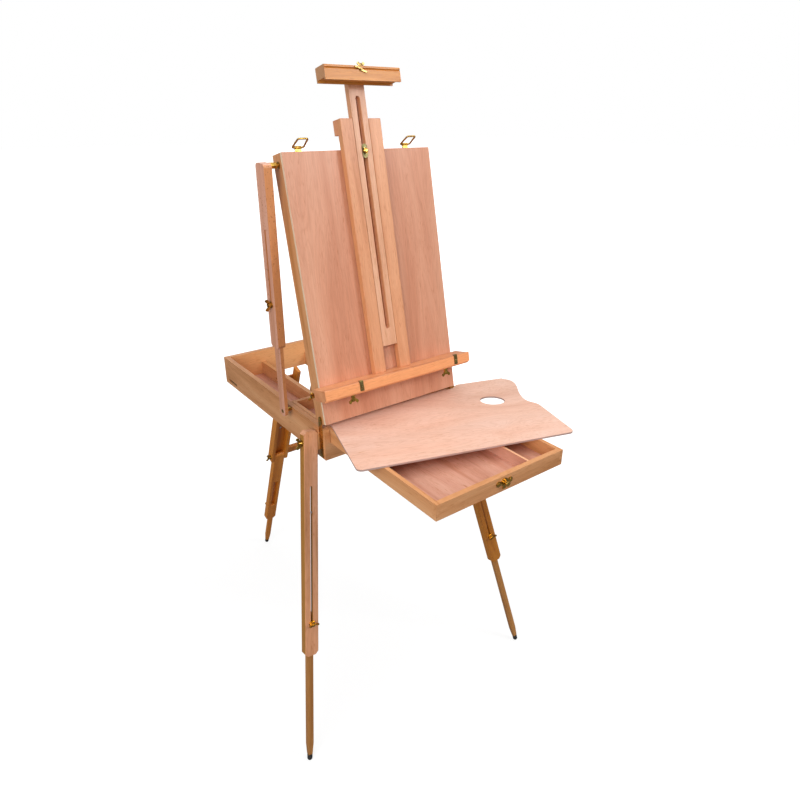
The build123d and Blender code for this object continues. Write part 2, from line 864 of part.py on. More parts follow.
ledge_wing_x = (-127.5, 133.5)
ledge_wing_out = lid_thickness + 37.0
with BuildPart() as canvas_ledge:
    with BuildSketch(lid_profile(-ledge_length / 2)):
        with BuildLine():
            Polyline(
                (ledge_top, rail_back),
                (ledge_top, ledge_front - 7.0),
                (ledge_top + 1.5, ledge_front - 5.5),
                (ledge_top + 1.5, ledge_front - 1.5),
                (ledge_top, ledge_front),
                (ledge_bottom + 4.5, ledge_front),
                (ledge_bottom + 4.5, ledge_front - 5.0),
                (ledge_bottom, ledge_front - 6.5),
                (ledge_bottom, rail_back + 2.0),
                (ledge_bottom + 2.0, rail_back),
                (ledge_top, rail_back),
            )
        make_face()
    extrude(amount=ledge_length)
    for x in ledge_wing_x:
        rod(
            Plane(origin=lid_point(x, ledge_bottom - 1, ledge_wing_out), z_dir=lid_up),
            bolt_radius + running_fit,
            18.0,
            Mode.SUBTRACT,
        )
save(canvas_ledge, "canvas_ledge")

clip_x = (-110.0, 157.0)
with BuildPart() as ledge_clips:
    for x in clip_x:
        with BuildSketch(lid_profile(x - 4.5)):
            with BuildLine():
                Polyline(
                    (ledge_bottom + 6.0, ledge_front),
                    (ledge_top + 1.5, ledge_front),
                    (ledge_top + 2.7, ledge_front - 1.5),
                    (ledge_top + 2.7, ledge_front - 5.0),
                    (ledge_top + 3.9, ledge_front - 4.0),
                    (ledge_top + 3.9, ledge_front),
                    (ledge_top + 2.5, ledge_front + 1.2),
                    (ledge_bottom + 6.0, ledge_front + 1.2),
                    (ledge_bottom + 6.0, ledge_front),
                )
            make_face()
        extrude(amount=9.0)
        screw_head(
            Plane(origin=lid_point(x, ledge_bottom + 14.0, ledge_front + 1.2), z_dir=lid_out), 3.0, 1.0
        )
save(ledge_clips, "ledge_clips")

for x, name in zip(ledge_wing_x, ("left", "right")):
    ledge_wing = wing_screw(
        Plane(
            origin=lid_point(x, ledge_bottom - seat_gap, ledge_wing_out), x_dir=(1, 0, 0), z_dir=-lid_up
        ),
        14.0,
        0.9,
        rise=6.0,
    )
    save(ledge_wing, f"ledge_wing_{name}")

# Mast with its groove, and the head that holds the canvas from above
mast_back = lid_thickness + mast_clearance
mast_front = mast_back + mast_thickness
head_low = rail_top + head_above_rails
head_top = head_low + head_height
groove_low = mast_bottom + groove_from_bottom
groove_high = head_low - groove_below_head
groove_length = groove_high - groove_low
groove_middle = (groove_low + groove_high) / 2
head_wing_x = 4.0
head_wing_out = head_front - 13.0
hook_x = -6.5
hook_up = head_top - 7.0

with BuildPart() as mast:
    lid_slab(
        (-mast_width / 2, mast_width / 2),
        (mast_bottom, head_low + mast_behind_head),
        (mast_back, mast_front),
    )
    with BuildSketch(lid_back.offset(mast_front)):
        with Locations((0, groove_middle)):
            SlotOverall(groove_length, mast_groove_width, rotation=90)
    extrude(amount=-mast_groove_depth, mode=Mode.SUBTRACT)
    with BuildSketch(lid_back.offset(mast_front)):
        with Locations((0, groove_middle)):
            SlotOverall(groove_length - 8, mast_slot_width, rotation=90)
    extrude(amount=-mast_thickness, mode=Mode.SUBTRACT)
save(mast, "mast")

with BuildPart() as head_block:
    with BuildSketch(lid_profile(-head_length / 2)):
        with BuildLine():
            Polyline(
                (head_low, mast_front),
                (head_low, mast_front + head_rebate),
                (head_low + head_rebate, mast_front + head_rebate),
                (head_low + head_rebate, head_front - head_rebate),
                (head_low, head_front - head_rebate),
                (head_low, head_front),
                (head_top - head_bead - 3.5, head_front),
                (head_top - head_bead - 1.5, head_front - 2.0),
                (head_top - head_bead, head_front),
                (head_top - 1.5, head_front),
                (head_top, head_front - 1.5),
                (head_top, mast_front + 1.5),
                (head_top - 1.5, mast_front),
                (head_low, mast_front),
            )
        make_face()
    extrude(amount=head_length)
    rod(
        Plane(origin=lid_point(head_wing_x, head_top - 21.0, head_wing_out), z_dir=lid_up),
        bolt_radius + running_fit,
        22.0,
        Mode.SUBTRACT,
    )
    rod(
        Plane(origin=lid_point(hook_x, hook_up, head_front - 12.0), z_dir=lid_out),
        2.0 + running_fit,
        20.0,
        Mode.SUBTRACT,
    )
save(head_block, "head_block")

head_wing_seat = Plane(
    origin=lid_point(head_wing_x, head_top + seat_gap, head_wing_out), x_dir=(1, 0, 0), z_dir=lid_up
)
head_wing_bolt = wing_screw(head_wing_seat, 18.0, 0.7)
save(head_wing_bolt, "head_wing_bolt")

hook_plane = Plane(origin=lid_point(hook_x, hook_up, head_front + seat_gap), x_dir=(1, 0, 0), z_dir=lid_out)
with BuildPart() as head_hook:
    rod(hook_plane.offset(-10.0), 2.0, 11.0)
    with BuildSketch(hook_plane):
        Circle(3.4)
        with BuildLine():
            ThreePointArc((0, 0), (hook_half / 2, -3.6), (hook_half, -4.5))
            ThreePointArc((0, 0), (-hook_half / 2, 3.6), (-hook_half, 4.5))
        trace(line_width=3.2)
    extrude(amount=1.8)
    screw_head(hook_plane.offset(1.8), 2.8, 1.4)
save(head_hook, "head_hook")

# Clamp of the mast: a brass plate across its slot and a dome nut, bolted through the lid
plate_seat = mast_front + seat_gap
with BuildPart() as mast_clamp_plate:
    with BuildSketch(lid_back.offset(plate_seat)):
        with Locations((0, clamp_height)):
            SlotOverall(clamp_plate_length, clamp_plate_width, rotation=90)
            Circle(bolt_radius + running_fit, mode=Mode.SUBTRACT)
    extrude(amount=plate_thickness)
save(mast_clamp_plate, "mast_clamp_plate")

nut_out = plate_seat + plate_thickness + seat_gap
nut_seat = clamp_line.offset(nut_out)
clamp_bolt_start = 14.0
with BuildPart() as mast_clamp_nut:
    rod(clamp_line.offset(clamp_bolt_start), bolt_radius, nut_out - clamp_bolt_start)
    with BuildSketch(nut_seat):
        RegularPolygon(dome_radius, 6)
    extrude(amount=2.4)
    with Locations(nut_seat.offset(2.4)):
        Cylinder(dome_radius * 0.84, 1.2, align=tool_up)
    with Locations(nut_seat.offset(3.6)):
        Cone(dome_radius * 0.84, dome_radius * 0.4, 2.6, align=tool_up)
save(mast_clamp_nut, "mast_clamp_nut")

# Side arm: a channel bolted to the lid that slides on a bar pinned to the box
arm_low = arm_length - arm_channel_below
arm_high = arm_length + arm_channel_above
arm_middle = (arm_low + arm_high) / 2
arm_closed_end = 15.0

with BuildPart() as left_arm_channel:
    with BuildSketch(arm_plane(0)):
        with Locations((arm_middle, 0)):
            RectangleRounded(arm_high - arm_low, arm_width, 8.0)
    extrude(amount=arm_thickness)
    with BuildSketch(arm_plane(0)):
        with Locations((arm_middle - arm_closed_end, 0)):
            Rectangle(arm_high - arm_low, arm_slide_width + 2 * arm_fit)
    extrude(amount=arm_thickness - arm_web, mode=Mode.SUBTRACT)
    with BuildSketch(arm_plane(arm_thickness - arm_web)):
        with Locations((arm_wing_from_foot + arm_travel / 2, 0)):
            SlotCenterToCenter(arm_travel + 6.0, leg_slot_width)
    extrude(amount=arm_web, mode=Mode.SUBTRACT)
save(left_arm_channel, "left_arm_channel")

with BuildPart() as left_arm_bar:
    with BuildSketch(arm_plane(arm_slide_near)):
        with Locations((arm_slide_length / 2 - arm_slide_width / 2, 0)):
            SlotOverall(arm_slide_length, arm_slide_width)
        Circle(pin_radius + running_fit, mode=Mode.SUBTRACT)
        with Locations((arm_wing_from_foot, 0)):
            Circle(bolt_radius + running_fit, mode=Mode.SUBTRACT)
    extrude(amount=arm_slide_thickness)
    with BuildSketch(arm_plane(arm_slide_far)):
        Circle(pin_head_radius + seat_gap)
    extrude(amount=-pin_head_height - 0.2 - seat_gap, mode=Mode.SUBTRACT)
save(left_arm_bar, "left_arm_bar")

left_arm_wing_bolt = wing_screw(
    arm_plane(arm_thickness + seat_gap, arm_wing_from_foot), arm_thickness + seat_gap - arm_slide_near
)
save(left_arm_wing_bolt, "left_arm_wing_bolt")


# Telescoping legs. A leg's face plane has local x across the leg and local y down it.
def leg_face(pivot, across, down):
    """A leg's middle plane; its normal is across x down."""
    return Plane(origin=pivot, x_dir=across, z_dir=across.cross(down))


def leg_block(face, x_span, down_span, out_span, mode=Mode.ADD):
    """Add or cut a square-edged block in a leg; out is measured along the face's normal."""
    with Locations(face.offset(out_span[0])):
        with Locations(((x_span[0] + x_span[1]) / 2, (down_span[0] + down_span[1]) / 2, 0)):
            Box(
                x_span[1] - x_span[0],
                down_span[1] - down_span[0],
                out_span[1] - out_span[0],
                align=tool_up,
                mode=mode,
            )


def outer_leg(face, down_span, open_side, channel_from, slot_span, bore_line, barrel=False):
    """The channelled upper piece of a leg. open_side is the sign of its open face's normal.

    With a barrel, the piece starts at its bolt and is rounded about it."""
    thick = leg_thickness / 2
    floor = thick - leg_channel_depth
    with BuildPart() as piece:
        with BuildSketch(face.offset(-thick)) as outline:
            with Locations((0, (down_span[0] + down_span[1]) / 2)):
                Rectangle(leg_width, down_span[1] - down_span[0])
            corners = outline.vertices().sort_by(Axis.Y)
            chamfer(corners[-2:] if barrel else corners, 8.0)
        extrude(amount=leg_thickness)
        fillet(piece.edges().filter_by(lambda e: e.length > 2 * leg_width), 2.0)
        if barrel:
            rod(bore_line.offset(-leg_width / 2), thick, leg_width)
        groove = (floor, thick + 1) if open_side > 0 else (-thick - 1, -floor)
        leg_block(
            face,
            (-leg_slide_width / 2 - leg_fit, leg_slide_width / 2 + leg_fit),
            (channel_from, down_span[1] + 1),
            groove,
            Mode.SUBTRACT,
        )
        with BuildSketch(face.offset(-open_side * (thick + 1))):
            with Locations((0, (slot_span[0] + slot_span[1]) / 2)):
                SlotOverall(slot_span[1] - slot_span[0], leg_slot_width, rotation=90)
        extrude(amount=open_side * (thick + 2), mode=Mode.SUBTRACT)
        rod(bore_line.offset(-leg_width), bolt_radius + running_fit, 2 * leg_width, Mode.SUBTRACT)
    return piece


def inner_leg(face, top, end, centre, bolt_at):
    """The sliding lower piece of a leg, tapered to a spigot for the foot."""
    taper = end - foot_height - 32.0
    shoulder = end - foot_height
    half_thick = leg_slide_thickness / 2
    with BuildPart() as piece:
        with BuildSketch(face.offset(centre - half_thick)):
            with BuildLine():
                Polyline(
                    (-leg_slide_width / 2, top),
                    (leg_slide_width / 2, top),
                    (leg_slide_width / 2, taper),
                    (5.2, shoulder),
                    (-5.2, shoulder),
                    (-leg_slide_width / 2, taper),
                    (-leg_slide_width / 2, top),
                )
            make_face()
        extrude(amount=leg_slide_thickness)
        chamfer(piece.faces().sort_by(face_axis(face))[0].edges(), 1.0)
        tip = Plane(origin=face.origin + face.y_dir * shoulder + face.z_dir * centre, z_dir=face.y_dir)
        rod(tip, foot_radius - foot_wall, foot_height - spigot_inset)
        bolt_line = Plane(origin=face.origin + face.y_dir * bolt_at, z_dir=face.z_dir)
        rod(bolt_line.offset(-leg_thickness), bolt_radius + running_fit, 2 * leg_thickness, Mode.SUBTRACT)
    return piece


def face_axis(face):
    """The axis that runs down a leg."""
    return Axis(face.origin, face.y_dir)


def leg_foot(face, end, centre):
    """A round rubber foot pushed over the end of the inner leg."""
    start = face.origin + face.y_dir * (end - foot_height) + face.z_dir * centre
    bore = foot_radius - foot_wall + finger_fit
    bore_end = foot_height - spigot_inset + 0.1
    diagonal = foot_radius * cos(radians(45))
    with BuildPart() as piece:
        with BuildSketch(Plane(origin=start, x_dir=face.x_dir, z_dir=face.z_dir)):
            with BuildLine():
                Polyline((bore, 0), (foot_radius, 0), (foot_radius, foot_height))
                ThreePointArc(
                    (foot_radius, foot_height),
                    (diagonal, foot_height + diagonal),
                    (0, foot_height + foot_radius),
                )
                Polyline((0, foot_height + foot_radius), (0, bore_end), (bore, bore_end), (bore, 0))
            make_face()
        revolve(axis=Axis(start, face.y_dir))
    return piece


leg_out = leg_thickness / 2 + seat_gap

for side in (-1, 1):
    splay, forward = leg_angles[side]
    across = Vector(cos(splay), 0, side * sin(splay))
    down = Vector(side * sin(splay) * cos(forward), -sin(forward), -cos(splay) * cos(forward))
    face = leg_face(leg_pivots[side], across, down)
    front_sign = -1 if face.z_dir.Y > 0 else 1
    centre = -front_sign * leg_slide_centre
    centre_rise = (face.z_dir * centre).Z
    end = (leg_pivots[side].Z + centre_rise - foot_radius) / -down.Z
    top = front_leg_outer - front_leg_slide_overlap
    slide_bolt = front_leg_outer - 85.0
    bore_line = Plane(origin=leg_pivots[side], z_dir=across)
    save(
        outer_leg(
            face,
            (-front_leg_above, front_leg_outer),
            -front_sign,
            front_leg_slot_start - 16.0,
            (front_leg_slot_start, slide_bolt + 6.0),
            bore_line,
        ),
        f"{side_names[side]}_leg_outer",
    )
    save(inner_leg(face, top, end, centre, slide_bolt), f"{side_names[side]}_leg_inner")
    save(leg_foot(face, end, centre), f"{side_names[side]}_foot")
    outer = across * side
    pivot_seat = Plane(
        origin=leg_pivots[side] + outer * (leg_width / 2 + seat_gap), x_dir=down, z_dir=outer
    )
    pivot_shank = leg_width + front_leg_offset / cos(splay) - leg_width / 2 + 8.0
    save(wing_screw(pivot_seat, pivot_shank), f"{side_names[side]}_leg_wing_bolt")
    slide_seat = Plane(
        origin=face.origin + down * slide_bolt + face.z_dir * (front_sign * leg_out),
        x_dir=across,
        z_dir=face.z_dir * front_sign,
    )
    save(wing_screw(slide_seat, leg_thickness - 1.5), f"{side_names[side]}_leg_slide_bolt")

# Rear leg frame, which swings in the centre channel, and the rear leg below it
rear_pivot = Vector(rear_x, rear_pivot_y, rear_pivot_z)
rear_down = Vector(0, sin(radians(rear_lean)), -cos(radians(rear_lean)))
rear_across = Vector(1, 0, 0)
rear_face = leg_face(rear_pivot, rear_across, rear_down)
rear_sign = 1 if rear_face.z_dir.Y < 0 else -1
cheek_in = leg_width / 2 + 0.5
cheek_out = cheek_in + cheek_thickness
arm_out = cheek_outer - rear_x
frame_end = rear_frame_length + 16.0
back_out = (-16.0, 10.0) if rear_sign > 0 else (-10.0, 16.0)
web_out = (-16.0, -10.4) if rear_sign > 0 else (10.4, 16.0)
bar_out = (-16.0, -4.0) if rear_sign > 0 else (4.0, 16.0)

with BuildPart() as rear_leg_frame:
    leg_block(rear_face, (-cheek_out, -cheek_in), (-14.0, frame_end), back_out)
    leg_block(rear_face, (cheek_in, cheek_out), (-14.0, frame_end), back_out)
    leg_block(rear_face, (-cheek_in, cheek_in), (14.0, frame_end), web_out)
    leg_block(rear_face, (cheek_out, arm_out), (frame_end - 28.0, frame_end - 4.0), bar_out)
    leg_block(rear_face, (arm_out - cheek_thickness, arm_out), (-12.0, frame_end - 4.0), bar_out)
    leg_block(rear_face, (arm_out - cheek_thickness, arm_out), (-12.0, 12.0), (-12.0, 12.0))
    left_pin = Plane(origin=rear_pivot + rear_across * (-cheek_out - 1), z_dir=(1, 0, 0))
    rod(left_pin, pin_radius + running_fit, pin_depth + 1.2, Mode.SUBTRACT)
    right_pin = Plane(origin=rear_pivot + rear_across * (arm_out + 1), z_dir=(-1, 0, 0))
    rod(right_pin, pin_radius + running_fit, pin_depth + 1.2, Mode.SUBTRACT)
    leg_bolt_line = Plane(
        origin=rear_pivot + rear_down * rear_frame_length - rear_across * (cheek_out + 1), z_dir=(1, 0, 0)
    )
    rod(leg_bolt_line, bolt_radius + running_fit, 2 * cheek_out + 2, Mode.SUBTRACT)
save(rear_leg_frame, "rear_leg_frame")

rear_end_outer = rear_frame_length + rear_leg_outer
rear_centre = rear_sign * leg_slide_centre
rear_rise = (rear_face.z_dir * rear_centre).Z
rear_end = (rear_pivot.Z + rear_rise - foot_radius) / -rear_down.Z
rear_slide_bolt = rear_end_outer - 59.0
save(
    outer_leg(
        rear_face,
        (rear_frame_length, rear_end_outer),
        rear_sign,
        rear_slide_bolt + 8.0 - rear_slot_length - 15.0,
        (rear_slide_bolt + 8.0 - rear_slot_length, rear_slide_bolt + 8.0),
        Plane(origin=rear_pivot + rear_down * rear_frame_length, z_dir=(1, 0, 0)),
        barrel=True,
    ),
    "rear_leg_outer",
)
save(inner_leg(rear_face, rear_slide_bolt - 20.0, rear_end, rear_centre, rear_slide_bolt), "rear_leg_inner")
save(leg_foot(rear_face, rear_end, rear_centre), "rear_foot")
rear_bolt_seat = Plane(
    origin=rear_pivot + rear_down * rear_frame_length - rear_across * (cheek_out + seat_gap),
    x_dir=rear_down,
    z_dir=(-1, 0, 0),
)
save(wing_screw(rear_bolt_seat, 2 * cheek_out - 1.0), "rear_leg_wing_bolt")
rear_slide_seat = Plane(
    origin=rear_pivot + rear_down * rear_slide_bolt - rear_face.z_dir * (rear_sign * leg_out),
    x_dir=rear_across,
    z_dir=-rear_face.z_dir * rear_sign,
)
save(wing_screw(rear_slide_seat, leg_thickness - 1.5), "rear_leg_slide_bolt")
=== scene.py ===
"""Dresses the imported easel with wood, brass, rubber and leather, and adds its small hardware."""
import json
import math
from collections import namedtuple

import bmesh
import bpy
from mathutils import Matrix, Vector


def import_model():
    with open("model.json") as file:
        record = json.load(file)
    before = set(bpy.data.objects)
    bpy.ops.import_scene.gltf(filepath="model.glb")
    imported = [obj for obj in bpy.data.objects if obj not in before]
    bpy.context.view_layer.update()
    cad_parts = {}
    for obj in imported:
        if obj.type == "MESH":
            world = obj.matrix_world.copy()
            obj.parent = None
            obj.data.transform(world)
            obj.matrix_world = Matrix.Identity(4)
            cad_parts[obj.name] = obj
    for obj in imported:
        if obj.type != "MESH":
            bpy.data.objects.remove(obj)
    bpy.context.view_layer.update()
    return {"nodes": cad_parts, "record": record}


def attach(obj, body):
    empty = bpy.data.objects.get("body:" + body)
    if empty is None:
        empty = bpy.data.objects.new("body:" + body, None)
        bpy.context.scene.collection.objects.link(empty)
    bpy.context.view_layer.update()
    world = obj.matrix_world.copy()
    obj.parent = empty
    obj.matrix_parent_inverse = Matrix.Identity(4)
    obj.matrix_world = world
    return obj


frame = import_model()
nodes = frame["nodes"]
joints = {joint["name"]: joint for joint in frame["record"]["behaviour"]["joints"]}

MM = 0.001
X = Vector((1, 0, 0))
Y = Vector((0, 1, 0))
Z = Vector((0, 0, 1))


def joint_axis(name):
    """A joint's axis as a unit vector in the row frame."""
    return Vector(joints[name]["axis"]).normalized()


def joint_place(name):
    """A hinge's place in the row frame, in metres."""
    return Vector(joints[name]["pos_m"])


lid_up = joint_axis("carrier_slide")
lid_out = X.cross(lid_up)
arm_up = joint_axis("left_arm_slide")
leg_up = {
    "left": joint_axis("left_leg_slide"),
    "right": joint_axis("right_leg_slide"),
    "rear": joint_axis("rear_leg_slide"),
}


# Materials
def srgb(red, green, blue):
    """A linear colour from the 0 to 255 values that it should render as."""
    def linear(value):
        value /= 255
        return value / 12.92 if value <= 0.04045 else ((value + 0.055) / 1.055) ** 2.4

    return linear(red), linear(green), linear(blue), 1.0


class Shader:
    """A material with a Principled shader and helpers that add nodes to it."""

    def __init__(self, name):
        self.material = bpy.data.materials.new(name)
        self.material.use_nodes = True
        self.tree = self.material.node_tree
        self.surface = self.tree.nodes["Principled BSDF"]
        coordinates = self.tree.nodes.new("ShaderNodeTexCoord")
        self.place = coordinates.outputs["Object"]
        self.normal = coordinates.outputs["Normal"]

    def link(self, source, target):
        self.tree.links.new(source, target)

    def set(self, **values):
        for key, value in values.items():
            self.surface.inputs[key.replace("_", " ")].default_value = value

    def stretched(self, grain, lengths):
        """Coordinates along a grain direction; lengths are the pattern's sizes in metres."""
        mapping = self.tree.nodes.new("ShaderNodeMapping")
        mapping.vector_type = "TEXTURE"
        mapping.inputs["Rotation"].default_value = grain.to_track_quat("X", "Z").to_euler()
        mapping.inputs["Scale"].default_value = lengths
        self.link(self.place, mapping.inputs["Vector"])
        return mapping.outputs["Vector"]

    def noise(self, vector, scale=1.0, detail=4.0, roughness=0.5, distortion=0.0):
        node = self.tree.nodes.new("ShaderNodeTexNoise")
        node.inputs["Scale"].default_value = scale
        node.inputs["Detail"].default_value = detail
        node.inputs["Roughness"].default_value = roughness
        node.inputs["Distortion"].default_value = distortion
        self.link(vector, node.inputs["Vector"])
        return node.outputs["Fac"]

    def ramp(self, factor, *stops):
        """Colours or greys by factor; each stop is a place and a colour."""
        node = self.tree.nodes.new("ShaderNodeValToRGB")
        elements = node.color_ramp.elements
        while len(elements) < len(stops):
            elements.new(0.5)
        for element, (place, colour) in zip(elements, stops):
            element.position = place
            element.color = colour if isinstance(colour, tuple) else (colour, colour, colour, 1)
        self.link(factor, node.inputs["Fac"])
        return node.outputs["Color"]

    def feed(self, value, target):
        """Link a socket, or set a constant on the target socket itself."""
        if isinstance(value, bpy.types.NodeSocket):
            self.link(value, target)
        else:
            target.default_value = value

    def mix(self, first, second, factor, blend="MIX"):
        node = self.tree.nodes.new("ShaderNodeMix")
        node.data_type = "RGBA"
        node.blend_type = blend
        # The node also has float and vector inputs of the same names, so these go by number.
        for value, number in ((factor, 0), (first, 6), (second, 7)):
            self.feed(value, node.inputs[number])
        return node.outputs[2]

    def multiply(self, first, second, amount=1.0):
        return self.mix(first, second, amount, "MULTIPLY")

    def facing(self, direction, test="GREATER_THAN"):
        """1 on faces that look along a direction or against it, and 0 elsewhere.

        With the test LESS_THAN it is the other way round.
        """
        dot = self.tree.nodes.new("ShaderNodeVectorMath")
        dot.operation = "DOT_PRODUCT"
        dot.inputs[1].default_value = direction
        self.link(self.normal, dot.inputs[0])
        size = self.tree.nodes.new("ShaderNodeMath")
        size.operation = "ABSOLUTE"
        self.link(dot.outputs["Value"], size.inputs[0])
        above = self.tree.nodes.new("ShaderNodeMath")
        above.operation = test
        above.inputs[1].default_value = 0.75
        self.link(size.outputs[0], above.inputs[0])
        return above.outputs[0]

    def rings(self, value, spacing):
        """A value folded into even bands, as growth rings crop up on a sawn face."""
        node = self.tree.nodes.new("ShaderNodeMath")
        node.operation = "PINGPONG"
        self.link(value, node.inputs[0])
        node.inputs[1].default_value = spacing
        return node.outputs[0]

    def bump(self, height, distance, strength=0.5):
        node = self.tree.nodes.new("ShaderNodeBump")
        node.inputs["Strength"].default_value = strength
        node.inputs["Distance"].default_value = distance
        self.link(height, node.inputs["Height"])
        self.link(node.outputs["Normal"], self.surface.inputs["Normal"])


# Three tones of the figure, its length, width and swirl, the surface's roughness, the size
# and darkness of the flecks, and the colour of edges or of faces that look to a side; on the
# back wall and the ledge's front that colour is painted light.
Wood = namedtuple("Wood", "light middle dark figure gloss flecks edge")
THIN_FLECKS = ((0.02, 0.0018, 0.0018), 0.8)
RAY_FLECKS = ((0.0045, 0.0032, 0.0032), 0.62)
WOODS = {
    # box_beech's edge colour, brighter than its wood, shows only on the back wall: painted light that
    # lifts the shade inside the box.
    "box_beech": Wood(
        (236, 175, 122), (224, 158, 104), (204, 138, 82),
        (0.3, 0.03, 0.6), 0.38, THIN_FLECKS, (255, 190, 128),
    ),
    "carrier_beech": Wood(
        (238, 170, 126), (230, 158, 112), (214, 140, 94),
        (0.4, 0.026, 0.5), 0.4, THIN_FLECKS, (226, 158, 108),
    ),
    "mast_beech": Wood(
        (246, 190, 154), (238, 178, 140), (224, 160, 120),
        (0.4, 0.026, 0.5), 0.4, THIN_FLECKS, (230, 166, 120),
    ),
    "leg_beech": Wood(
        (244, 180, 140), (232, 164, 120), (210, 144, 98),
        (0.36, 0.024, 0.5), 0.38, THIN_FLECKS, (182, 124, 44),
    ),
    "arm_beech": Wood(
        (240, 184, 158), (230, 168, 140), (212, 148, 114),
        (0.36, 0.024, 0.5), 0.38, RAY_FLECKS, (226, 152, 98),
    ),
    # The next three kinds are darker, more orange copies of the leg beech, with painted shade in their
    # colours: the right and rear legs stand behind and under the box, and the inner legs sit inside the
    # outer ones.
    "right_leg_painted_shade_beech": Wood(
        (200, 128, 38), (182, 110, 22), (158, 90, 12),
        (0.3, 0.022, 0.5), 0.42, THIN_FLECKS, (198, 124, 30),
    ),
    "rear_painted_shade_beech": Wood(
        (232, 148, 56), (214, 128, 36), (188, 106, 20),
        (0.3, 0.022, 0.5), 0.42, THIN_FLECKS, (226, 142, 44),
    ),
    "inner_painted_shade_beech": Wood(
        (206, 146, 84), (190, 130, 66), (166, 108, 48),
        (0.3, 0.022, 0.5), 0.42, THIN_FLECKS, (176, 120, 56),
    ),
    "head_beech": Wood(
        (232, 160, 74), (222, 146, 60), (200, 122, 42),
        (0.3, 0.026, 0.5), 0.42, THIN_FLECKS, (192, 138, 90),
    ),
    # ledge_beech's brighter edge colour is painted light on the ledge's front, which faces down and gets
    # less light.
    "ledge_beech": Wood(
        (234, 162, 112), (224, 148, 98), (204, 126, 76),
        (0.3, 0.026, 0.5), 0.38, THIN_FLECKS, (254, 172, 114),
    ),
    "plywood": Wood(
        (228, 166, 134), (222, 156, 123), (212, 142, 108),
        (0.7, 0.07, 0.8), 0.42, THIN_FLECKS, (250, 226, 196),
    ),
    "drawer_ply": Wood(
        (228, 172, 148), (220, 160, 136), (202, 138, 110),
        (0.5, 0.05, 1.6), 0.42, THIN_FLECKS, (250, 190, 146),
    ),
    "palette_ply": Wood(
        (250, 209, 190), (246, 201, 179), (240, 190, 166),
        (0.34, 0.13, 1.6), 0.36, THIN_FLECKS, (196, 164, 156),
    ),
}
# Sizes in metres along and across the grain
BOARD_LENGTHS = (0.9, 0.12, 0.12)
FIBRE_LENGTHS = (0.06, 0.0011, 0.0011)
PATCH_LENGTHS = (0.12, 0.02, 0.02)
RING_SPACING = 0.02
RING_TINT = (0.93, 0.89, 0.85, 1)
wood_cache = {}


def wood(kind, grain, side=None):
    """Varnished wood of one kind, with its grain along a direction.

    side is what facing() takes; the faces that it picks have the kind's edge colour.
    """
    key = (kind, tuple(round(value, 3) for value in grain), side is None)
    if key in wood_cache:
        return wood_cache[key]
    look = WOODS[kind]
    shader = Shader(f"{kind}_{len(wood_cache)}")
    along, across, swirl = look.figure
    broad = shader.noise(
        shader.stretched(grain, (along, across, across)), detail=4, roughness=0.5, distortion=swirl
    )
    board = shader.noise(shader.stretched(grain, BOARD_LENGTHS), detail=1)
    fibre = shader.noise(shader.stretched(grain, FIBRE_LENGTHS), detail=6, roughness=0.7)
    fleck_size, fleck_dark = look.flecks
    spots = shader.noise(shader.stretched(grain, fleck_size), detail=1)
    patches = shader.noise(shader.stretched(grain, PATCH_LENGTHS), detail=2)
    colour = shader.ramp(
        broad, (0.34, srgb(*look.dark)), (0.5, srgb(*look.middle)), (0.68, srgb(*look.light))
    )
    if side is not None:
        colour = shader.mix(colour, srgb(*look.edge), shader.facing(*side))
    colour = shader.multiply(colour, shader.ramp(board, (0.3, 0.9), (0.7, 1.0)))
    rings = shader.rings(broad, RING_SPACING)
    colour = shader.multiply(colour, shader.ramp(rings, (0.0, RING_TINT), (0.011, 1.0)))
    colour = shader.multiply(colour, shader.ramp(fibre, (0.35, 0.87), (0.6, 1.0)))
    fleck_tint = (fleck_dark, fleck_dark * 0.82, fleck_dark * 0.62, 1)
    flecks = shader.ramp(spots, (0.3, fleck_tint), (0.38, 1.0))
    colour = shader.multiply(colour, flecks, shader.ramp(patches, (0.4, 0.15), (0.6, 1.0)))
    shader.link(colour, shader.surface.inputs["Base Color"])
    roughness = shader.ramp(fibre, (0.3, look.gloss + 0.16), (0.7, look.gloss))
    shader.link(roughness, shader.surface.inputs["Roughness"])
    shader.set(Coat_Weight=0.22, Coat_Roughness=0.22)
    shader.bump(fibre, 0.00012)
    wood_cache[key] = shader.material
    return shader.material


def metal(name, tint, dull, roughness):
    """Plated metal with faint smudges and fine wear."""
    shader = Shader(name)
    smudge = shader.noise(shader.place, scale=160, detail=5, roughness=0.6)
    wear = shader.noise(shader.place, scale=1400, detail=3)
    colour = shader.ramp(smudge, (0.3, srgb(*dull)), (0.62, srgb(*tint)))
    shader.link(colour, shader.surface.inputs["Base Color"])
    worn = shader.ramp(smudge, (0.3, roughness + 0.16), (0.7, roughness))
    shader.link(worn, shader.surface.inputs["Roughness"])
    shader.set(Metallic=1.0)
    shader.bump(wear, 0.00005, 0.35)
    return shader.material


def rubber():
    """Matt black rubber with a moulded skin."""
    shader = Shader("rubber")
    skin = shader.noise(shader.place, scale=900, detail=4)
    dust = shader.noise(shader.place, scale=70, detail=4)
    shader.link(
        shader.ramp(dust, (0.35, srgb(24, 24, 25)), (0.75, srgb(48, 47, 46))),
        shader.surface.inputs["Base Color"],
    )
    shader.link(shader.ramp(skin, (0.3, 0.82), (0.7, 0.62)), shader.surface.inputs["Roughness"])
    shader.bump(skin, 0.0002)
    return shader.material


